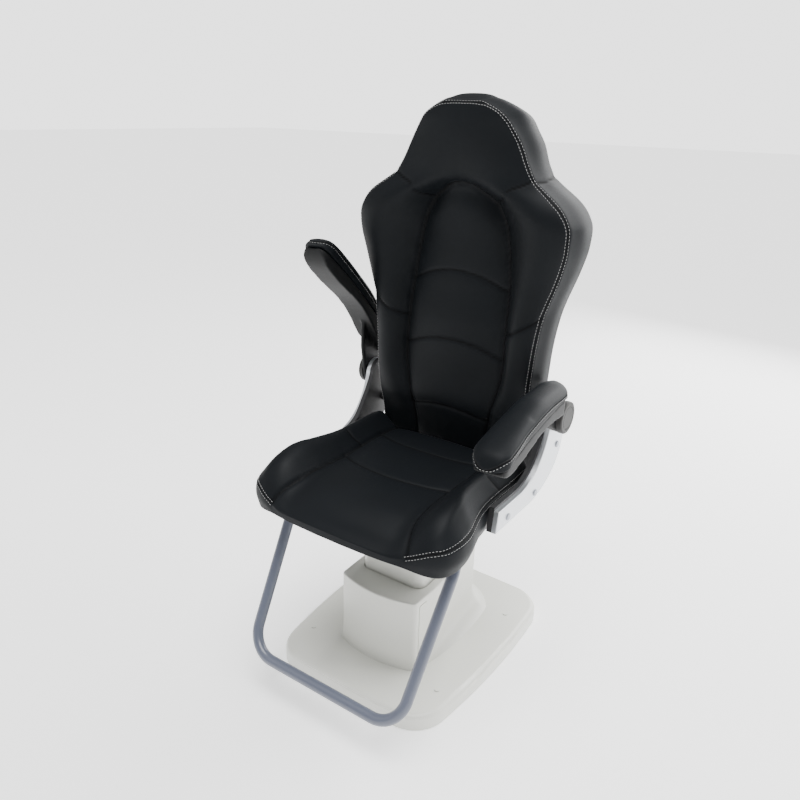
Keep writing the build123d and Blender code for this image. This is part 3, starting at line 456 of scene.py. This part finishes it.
stuffing = {"from": 1, "to": 20, "quality": 6, "stiffness": 18}  # frames, and how the cover resists


def puff(thing, pressure, cap, s):
    before = corners(thing)
    cloth = thing.modifiers.new("stuffing", "CLOTH")
    cloth.settings.use_pressure = True
    cloth.settings.uniform_pressure_force = pressure
    cloth.settings.quality = s["quality"]
    cloth.settings.tension_stiffness = s["stiffness"]
    cloth.settings.effector_weights.gravity = 0
    cloth.point_cache.frame_start = s["from"]
    cloth.point_cache.frame_end = s["to"]
    scene = bpy.context.scene
    for number in range(s["from"], s["to"] + 1):
        scene.frame_set(number)
    grown = thing.evaluated_get(bpy.context.evaluated_depsgraph_get())
    after = corners(grown)
    thing.modifiers.remove(cloth)
    scene.frame_set(s["from"])
    move = after - before
    far = np.linalg.norm(move, axis=1, keepdims=True)
    setCorners(thing, before + move * np.minimum(1.0, cap / np.maximum(far, 1e-9)))


def corners(thing):
    flat = np.empty(len(thing.data.vertices) * 3)
    thing.data.vertices.foreach_get("co", flat)
    return flat.reshape(-1, 3)


def normalsOf(thing):
    flat = np.empty(len(thing.data.vertices) * 3, dtype=np.float32)
    thing.data.vertex_normals.foreach_get("vector", flat)
    return flat.reshape(-1, 3).astype(float)


def setCorners(thing, points):
    thing.data.vertices.foreach_set("co", np.asarray(points, dtype=np.float32).ravel())
    thing.data.update()


def treeOf(thing):
    mesh = thing.data
    return BVHTree.FromPolygons([v.co for v in mesh.vertices], [p.vertices for p in mesh.polygons])


def sampled(points, gap):
    pts = np.array(points, float) * mm
    padded = np.vstack((2 * pts[0] - pts[1], pts, 2 * pts[-1] - pts[-2]))
    fine = []
    for k in range(1, len(padded) - 2):
        p0, p1, p2, p3 = padded[k - 1:k + 3]
        for t in np.linspace(0, 1, 40, endpoint=False):
            fine.append(0.5 * (2 * p1 + (p2 - p0) * t + (2 * p0 - 5 * p1 + 4 * p2 - p3) * t * t
                               + (3 * p1 - p0 - 3 * p2 + p3) * t ** 3))
    fine.append(padded[-2])
    fine = np.array(fine)
    run = np.concatenate(([0], np.cumsum(np.linalg.norm(np.diff(fine, axis=0), axis=1))))
    at = np.linspace(0, run[-1], max(int(run[-1] / gap), 2) + 1)
    return np.stack([np.interp(at, run, fine[:, axis]) for axis in range(3)], axis=1)


def onSurface(tree, points):
    found = [tree.find_nearest(Vector(p)) for p in points]
    return np.array([f[0] for f in found]), np.array([f[1] for f in found])


seamShadeWidth = 2.2  # how wide the painted shade along each seam groove is, millimetres


def sewSeams(thing, seams):  # each seam is (points, depth, width, pull, reach)
    tree = treeOf(thing)
    spots = corners(thing)
    normals = normalsOf(thing)
    press = np.zeros(len(spots))
    paintedSeamShadeMask = np.zeros(len(spots))
    for points, depth, width, pull, reach in seams:
        line = onSurface(tree, sampled(points, 0.0015))[0]
        finder = KDTree(len(line))
        for k, p in enumerate(line):
            finder.insert(p, k)
        finder.balance()
        away = np.array([finder.find(Vector(p))[2] for p in spots])
        press += depth * mm * np.exp(-(away / (width * mm)) ** 2)
        press += pull * mm * np.exp(-away / (reach * mm))
        # the seam attribute is a painted-shade mask, darkest on each seam line
        paintedSeamShadeMask = np.maximum(paintedSeamShadeMask, np.exp(-(away / (seamShadeWidth * mm)) ** 2))
    setCorners(thing, spots - normals * press[:, None])
    layer = thing.data.attributes.new("seam", "FLOAT", "POINT")
    layer.data.foreach_set("value", paintedSeamShadeMask.astype(np.float32))


stitch = {"length": 4.0, "gap": 6.8, "radius": 0.46, "lift": 0.22, "rows": (-4.6, 4.6)}  # millimetres


def evened(rows, times):
    rows = rows.copy()
    for _ in range(times):
        rows[1:-1] = (rows[:-2] + rows[1:-1] * 2 + rows[2:]) / 4
    return rows


def stitchLine(name, plain, sewn, points, shift, s):
    line, normals = onSurface(plain, sampled(points, 0.003))
    line = evened(line, 6)
    normals = evened(normals, 10)
    across = evened(np.cross(normals, np.gradient(line, axis=0)), 10)
    across /= np.maximum(np.linalg.norm(across, axis=1, keepdims=True), 1e-9)
    line, normals = onSurface(sewn, line + across * shift * mm + normals * 0.004)
    line = line + normals * s["lift"] * mm
    line = evened(line, 5)
    path = bpy.data.curves.new(name + "Path", "CURVE")
    path.dimensions = "3D"
    spline = path.splines.new("POLY")
    spline.points.add(len(line) - 1)
    spline.points.foreach_set("co", np.hstack((line, np.ones((len(line), 1)))).ravel())
    guide = bpy.data.objects.new(name + "Path", path)
    bpy.context.collection.objects.link(guide)
    bpy.ops.object.select_all(action="DESELECT")
    bpy.ops.mesh.primitive_cylinder_add(vertices=6, radius=s["radius"] * mm, depth=s["length"] * mm,
                                        end_fill_type="TRIFAN", rotation=(0, math.pi / 2, 0),
                                        location=(s["length"] * mm / 2, 0, 0))
    row = bpy.context.active_object
    row.name = name
    bpy.ops.object.transform_apply(location=True, rotation=True, scale=True)
    bpy.ops.object.mode_set(mode="EDIT")
    bpy.ops.mesh.select_all(action="SELECT")
    bpy.ops.mesh.bevel(offset=s["radius"] * 0.45 * mm, segments=1)
    bpy.ops.object.mode_set(mode="OBJECT")
    many = row.modifiers.new("many", "ARRAY")
    many.fit_type = "FIT_CURVE"
    many.curve = guide
    many.use_relative_offset = False
    many.use_constant_offset = True
    many.constant_offset_displace = (s["gap"] * mm, 0, 0)
    along = row.modifiers.new("along", "CURVE")
    along.object = guide
    pick(row)
    bpy.ops.object.modifier_apply(modifier="many")
    bpy.ops.object.modifier_apply(modifier="along")
    bpy.ops.object.shade_smooth()
    bpy.data.objects.remove(guide)
    row.data.materials.append(threadMaterial)
    return row


def bothSides(points):
    return points, [(-x, y, z) for x, y, z in points]


# seat cushion

seat = {
    "rear": 137.0, "front": -306.0, "bow": 12.0, "bottom": 425.0,
    "cells": (36, 31, 7), "pressure": 3.0, "cap": 0.005, "crown": 4.0, "panelHalf": 140.0,
    "bolsterFrom": 132.0, "bolsterRise": 72.0, "edgeWidth": 40.0, "edgeDrop": 7.0, "tuck": 7.0,
    "swell": 4.0, "fill": 0.8,
}
seatHalf = through([(-306, 184), (-298, 212), (-282, 242), (-258, 259), (-225, 266), (-190, 264),
                    (-150, 254), (-100, 241), (-40, 235), (137, 234)])
seatBase = through([(-306, 456), (-290, 471), (-262, 485), (-215, 496), (-150, 501), (0, 500), (137, 504)])
seatBolster = through([(-306, 5), (-285, 18), (-240, 36), (-150, 45), (0, 42), (137, 36)])
seatUnder = through([(-306, 441), (-290, 431), (-262, 425), (137, 425)])
seatCornerLift = through([(-306, 17), (-298, 22), (-282, 19.5), (-258, 10.5), (-225, 4.4), (-190, 0),
                          (137, 0)])


def seatPlace(a, b, c):
    straight = seat["front"] + (b + 1) / 2 * (seat["rear"] - seat["front"])
    half = seatHalf(straight)
    x = a * half
    y = straight - seat["bow"] * (1 - a * a) * ease((-straight - 120) / 180)
    out = np.abs(x)
    crown = seat["crown"] * (1 - np.minimum(out / seat["panelHalf"], 1) ** 2)
    roll = ease((out - seat["bolsterFrom"]) / seat["bolsterRise"])
    fall = ease((out - (half - seat["edgeWidth"])) / seat["edgeWidth"]) ** 1.6
    bolster = seatBolster(y)
    lift = seatCornerLift(straight)
    top = seatBase(y) + crown + bolster * roll - (bolster + seat["edgeDrop"] - lift) * fall
    under = seatUnder(y)
    z = under + (top - under) * (c + 1) / 2
    tuck = ease((0.1 - c) / 1.1) * seat["tuck"]
    swell = np.sin(np.pi * (c + 1) / 2) * seat["swell"] * (np.abs(a) > 0.999)
    return x - np.sign(x) * (tuck * (np.abs(a) > 0.999) - swell), y, z


def seatEdgeLine():
    line = [(176, -313, 470)]
    for y in (-304, -298, -288, -272, -250, -222, -188, -148, -98, -40, 50, 130):
        high = float(seatBase(y)) - seat["edgeDrop"] + float(seatCornerLift(y))
        line.append((float(seatHalf(y)) + 8, y - 8 * float(ease(np.array((-y - 225) / 60))), high + 7))
    return line


seatSeams = {
    "edge": seatEdgeLine(),
    "long": [(139, 137, 505), (147, 60, 503), (146, -20, 502), (143, -80, 502), (147, -150, 500),
             (156, -215, 492), (168, -268, 480), (177, -304, 466)],
    "bolsterAcross": [(145, -12, 502), (175, -24, 515), (205, -22, 528), (233, -2, 499)],
    "centreFront": [(-143, -80, 502), (-90, -104, 505), (0, -116, 506), (90, -104, 505), (143, -80, 502)],
    "centreRear": [(-144, 66, 502), (-80, 44, 506), (0, 38, 506), (80, 44, 506), (144, 66, 502)],
}


def makeSeat():
    cushion = blockMesh("seatCushionCover", seat["cells"], seatPlace)
    puff(cushion, seat["pressure"], seat["cap"], stuffing)
    smoothOut(cushion, 2)
    seams = [(seatSeams["centreFront"], 2.2, 3.4, 2.2, 16), (seatSeams["centreRear"], 1.6, 3.4, 1.6, 14)]
    for line in bothSides(seatSeams["edge"]):
        seams.append((line, 2.4, 3.2, 1.5, 10))
    for line in bothSides(seatSeams["long"]):
        seams.append((line, 3.6, 4.0, 4.5, 16))
    for line in bothSides(seatSeams["bolsterAcross"]):
        seams.append((line, 1.6, 3.2, 1.8, 12))
    plain = treeOf(cushion)
    sewSeams(cushion, seams)
    cushion.data.materials.append(leatherMaterial)
    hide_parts("seat_cushion")
    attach(cushion, "seat")
    tree = treeOf(cushion)
    for number, line in enumerate(bothSides(seatSeams["edge"])):
        for row, shift in enumerate(stitch["rows"]):
            thread = stitchLine(f"seatStitch{number}{row}", plain, tree, line, shift, stitch)
            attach(thread, "seat")
    print("seat cushion made")


# back cushion

back = {
    "cells": (36, 56, 7), "bottom": 458.0, "top": 1301.0, "pressure": 3.0, "cap": 0.005, "fill": 0.8,
    "swell": 3.0, "rearSpread": 7.0, "shoulder": (0.05, 1150, 70), "head": (0.10, 1225, 60),
    "headStart": 1185, "headRise": 116, "frontDrop": 14, "cornerDrop": 10, "rearDrop": 6,
}
backHalf = through([(458, 200), (545, 208), (700, 215), (760, 218), (840, 228), (948, 259), (1000, 270),
                    (1038, 272), (1064, 262), (1088, 243), (1138, 177), (1170, 156), (1206, 139),
                    (1225, 129), (1240, 120), (1262, 107), (1275, 97), (1288, 80), (1296, 64), (1301, 48)])
backEdge = through([(458, 152), (535, 150), (600, 136), (670, 129), (830, 132), (935, 136), (1030, 128),
                    (1078, 128), (1138, 140), (1205, 143), (1240, 138), (1256, 135), (1275, 131),
                    (1301, 128)])
backSeamHalf = through([(458, 92), (545, 100), (609, 112), (690, 129), (797, 130), (885, 126), (1010, 111),
                        (1050, 98), (1080, 77), (1100, 50), (1112, 24), (1118, 0.5), (1301, 0.5)])
backSeamDepth = through([(458, 150), (535, 148), (609, 139), (690, 148), (797, 153), (885, 167), (1010, 178),
                         (1060, 178), (1090, 168), (1118, 150), (1140, 136), (1190, 127), (1240, 125),
                         (1275, 126), (1301, 128)])
backCrown = through([(458, 2), (600, 10), (700, 13), (885, 18), (1010, 24), (1060, 26), (1118, 0), (1301, 0)])
backWing = through([(458, 149), (540, 146), (600, 128), (700, 121), (800, 119), (900, 121), (1010, 117),
                    (1060, 113), (1100, 121), (1130, 131), (1180, 130), (1240, 129), (1275, 127),
                    (1301, 128)])
backRear = through([(458, 218), (640, 226), (760, 229), (900, 238), (1000, 248), (1080, 250), (1190, 243),
                    (1260, 240), (1299, 226)])


def backFace(x, z):
    half = backHalf(z)
    inner = backSeamHalf(z)
    out = np.abs(x)
    centre = backSeamDepth(z) - backCrown(z) * (1 - np.minimum(out / inner, 1) ** 2)
    u = np.clip((out - inner) / (half - inner), 0, 1)
    first, middle, last = backSeamDepth(z), backWing(z), backEdge(z)
    curve = first * (1 - u) * (1 - 2 * u) + 4 * middle * u * (1 - u) + last * u * (2 * u - 1)
    return np.where(out < inner, centre, curve)


def headDrop(z, a, c):
    front = ease((0.1 - c) / 1.1)
    rear = back["cornerDrop"] * np.abs(a) ** 3 + back["rearDrop"] * ease((c - 0.3) / 0.7)
    return ease((z - back["headStart"]) / back["headRise"]) * (back["frontDrop"] * front + rear * (1 - front))


def backPlace(a, b, c):
    z = back["bottom"] + (b + 1) / 2 * (back["top"] - back["bottom"])
    half = backHalf(z)
    x = a * half
    front = backFace(x, z)
    rear = backRear(z) - 3 * (np.abs(a) ** 3)
    y = front + (rear - front) * (c + 1) / 2
    swell = np.sin(np.pi * (c + 1) / 2) * back["swell"]
    side = np.abs(a) > 0.999
    z = z - headDrop(z, a, c) + np.where(b > 0.999, swell, 0)
    behind = ease((c + 0.8) / 0.9)
    wider = 1
    for amount, start, run in (back["shoulder"], back["head"]):
        wider = wider + amount * ease((z - start) / run) * behind
    return x * wider + np.sign(x) * (swell + back["rearSpread"] * behind) * side, y, z


def backPoint(x, z):
    return (x, float(backFace(np.array([x]), np.array([z]))[0]), z)


def backEdgeLine():
    heights = (480, 540, 600, 700, 800, 900, 980, 1035, 1062, 1100, 1138, 1170, 1206, 1240, 1262, 1280, 1292)
    right = []
    for z in heights:
        low = z - float(headDrop(z, 1, -1))
        up = 8 * float(ease(np.array((z - 1200) / 90)))
        right.append((float(backHalf(z)) + 8, float(backEdge(z)) - 8, low + up))
    left = [(-x, y, z) for x, y, z in reversed(right)]
    return right + [(30, 119, 1296), (0, 119, 1297), (-30, 119, 1296)] + left


def makeBack():
    cushion = blockMesh("backCushionCover", back["cells"], backPlace)
    puff(cushion, back["pressure"], back["cap"], stuffing)
    smoothOut(cushion, 2)
    archHeights = (478, 505, 545, 609, 690, 797, 885, 950, 1010, 1050, 1080, 1100)
    rightArch = [(float(backSeamHalf(z)), float(backSeamDepth(z)), z) for z in archHeights]
    arch = rightArch + [(26, 152, 1113), (0, 150, 1117), (-26, 152, 1113)]
    arch += [(-x, y, z) for x, y, z in reversed(rightArch)]
    seams = [(arch, 4.5, 4.5, 6.0, 18), (backEdgeLine(), 2.4, 3.2, 1.5, 10)]
    crossings = {
        "pillow": [(80, 172, 1080), (112, 150, 1098), (146, 138, 1118), (178, 138, 1139), (190, 165, 1140),
                   (189, 200, 1140), (180, 240, 1141)],
        "wing": [(130, 153, 797), (165, 120, 812), (198, 120, 832), (222, 131, 850)],
    }
    for points in crossings.values():
        for line in bothSides(points):
            seams.append((line, 2.4, 3.4, 2.6, 14))
    for ends, apex in ((888, 924), (732, 764), (578, 598)):
        half = float(backSeamHalf(ends))
        points = [backPoint(x, apex - (apex - ends) * (x / half) ** 2) for x in
                  (-half, -half * 0.5, 0, half * 0.5, half)]
        seams.append((points, 2.0, 3.6, 2.4, 16))
    plain = treeOf(cushion)
    sewSeams(cushion, seams)
    cushion.data.materials.append(leatherMaterial)
    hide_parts("back_cushion")
    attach(cushion, "seat")
    tree = treeOf(cushion)
    for row, shift in enumerate(stitch["rows"]):
        thread = stitchLine(f"backStitch{row}", plain, tree, backEdgeLine(), shift, stitch)
        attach(thread, "seat")
    print("back cushion made")


# arm pads

arm = {
    "half": 38.5, "reach": 411.0, "rear": -13.0, "slant": 90.0, "toe": 3.0, "centre": 268.0,
    "pivotY": 190.0, "pivotZ": 620.0, "raised": 55.0, "cells": (8, 42, 5),
    "pressure": 3.0, "cap": 0.003, "edgeRoll": 9.0, "noseFrom": 0.93, "stitchShift": 3.4, "fill": 0.8,
}
armCrown = through([(-13, 79), (30, 90), (80, 98), (180, 100), (260, 91), (330, 79), (380, 67), (400, 57),
                    (411, 42)])
armUnder = through([(-13, 69.5), (0, 71), (90, 75), (180, 69), (260, 59), (330, 45), (400, 29), (411, 30)])


def armPlace(a, b, c):
    s = a * arm["half"]
    start = arm["rear"] + (a + 1) / 2 * arm["slant"]
    t = (b + 1) / 2
    reach = arm["reach"] - arm["half"] * (1 - np.sqrt(np.clip(1 - (a * 0.97) ** 2, 0, 1)))
    f = start + (reach - start) * t
    crown = armCrown(f)
    under = armUnder(f)
    edge = np.maximum(np.abs(a), ease((t - arm["noseFrom"]) / (1 - arm["noseFrom"])) * 0.9)
    top = crown - arm["edgeRoll"] * edge ** 3
    h = under + (top - under) * (c + 1) / 2
    return s, f, h


def armToRoom(points, side):
    toe = math.radians(arm["toe"])
    s, f, h = points[:, 0], points[:, 1], points[:, 2]
    x = arm["centre"] * mm + s * math.cos(toe) + f * math.sin(toe)
    forward = f * math.cos(toe) - s * math.sin(toe)
    angle = math.radians(arm["raised"] if side < 0 else 0.0)
    y = arm["pivotY"] * mm - (forward * math.cos(angle) - h * math.sin(angle))
    z = arm["pivotZ"] * mm + forward * math.sin(angle) + h * math.cos(angle)
    return np.stack((side * x, y, z), axis=1)


def makeArmPad(name, side):
    pad = blockMesh(name + "ArmPadCover", arm["cells"], armPlace)
    puff(pad, arm["pressure"], arm["cap"], stuffing)
    smoothOut(pad, 2)
    around = []
    for a, t in ((-1, 0.10), (-1, 0.3), (-1, 0.5), (-1, 0.7), (-1, 0.9), (-0.75, 0.985), (0, 1.0),
                 (0.75, 0.985), (1, 0.9), (1, 0.7), (1, 0.5), (1, 0.3), (1, 0.08), (0.6, 0.0), (-0.6, 0.0)):
        s, f, h = armPlace(np.array([float(a)]), np.array([2.0 * t - 1]), np.array([0.55]))
        around.append((float(s[0]), float(f[0]), float(h[0])))
    ring = around + around[:1]
    plain = treeOf(pad)
    sewSeams(pad, [(ring, 1.2, 2.2, 0.8, 8)])
    thread = stitchLine(name + "ArmStitch", plain, treeOf(pad), ring, arm["stitchShift"], stitch)
    for thing in (pad, thread):
        setCorners(thing, armToRoom(corners(thing), side))
        if side < 0:
            pick(thing)
            bpy.ops.object.mode_set(mode="EDIT")
            bpy.ops.mesh.select_all(action="SELECT")
            bpy.ops.mesh.flip_normals()
            bpy.ops.object.mode_set(mode="OBJECT")
        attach(thing, "armrest_" + name)
    pad.data.materials.append(leatherMaterial)
    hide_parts(name + "_arm_pad")
    print(name + " arm pad made")


coreShape = {"voxel": 0.0024, "rounds": 7, "merge": 1e-5}


def makeArmCore(name, side, s):
    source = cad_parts[name + "_arm_core"]
    core = bpy.data.objects.new(name + "ArmMoulding", source.data.copy())
    bpy.context.collection.objects.link(core)
    pick(core)
    bpy.ops.object.mode_set(mode="EDIT")
    bpy.ops.mesh.select_all(action="SELECT")
    bpy.ops.mesh.remove_doubles(threshold=s["merge"])
    bpy.ops.object.mode_set(mode="OBJECT")
    skin = core.modifiers.new("skin", "REMESH")
    skin.mode = "VOXEL"
    skin.voxel_size = s["voxel"]
    soft = core.modifiers.new("soft", "SMOOTH")
    soft.factor = 0.5
    soft.iterations = s["rounds"]
    bpy.ops.object.modifier_apply(modifier="skin")
    bpy.ops.object.modifier_apply(modifier="soft")
    bpy.ops.object.shade_smooth()
    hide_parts(name + "_arm_core")
    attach(core, "armrest_" + name)
    print(name + " arm moulding made")


makeCamera(view)
makeStudio(studio)
print("camera and studio made")
leatherMaterial = leatherFinish("blackLeather", leather)
threadMaterial = threadFinish("lightThread")
dressFrame()
print("frame dressed")
makeSeat()
makeBack()
for armName, armSide in (("left", 1), ("right", -1)):
    makeArmPad(armName, armSide)
    makeArmCore(armName, armSide, coreShape)
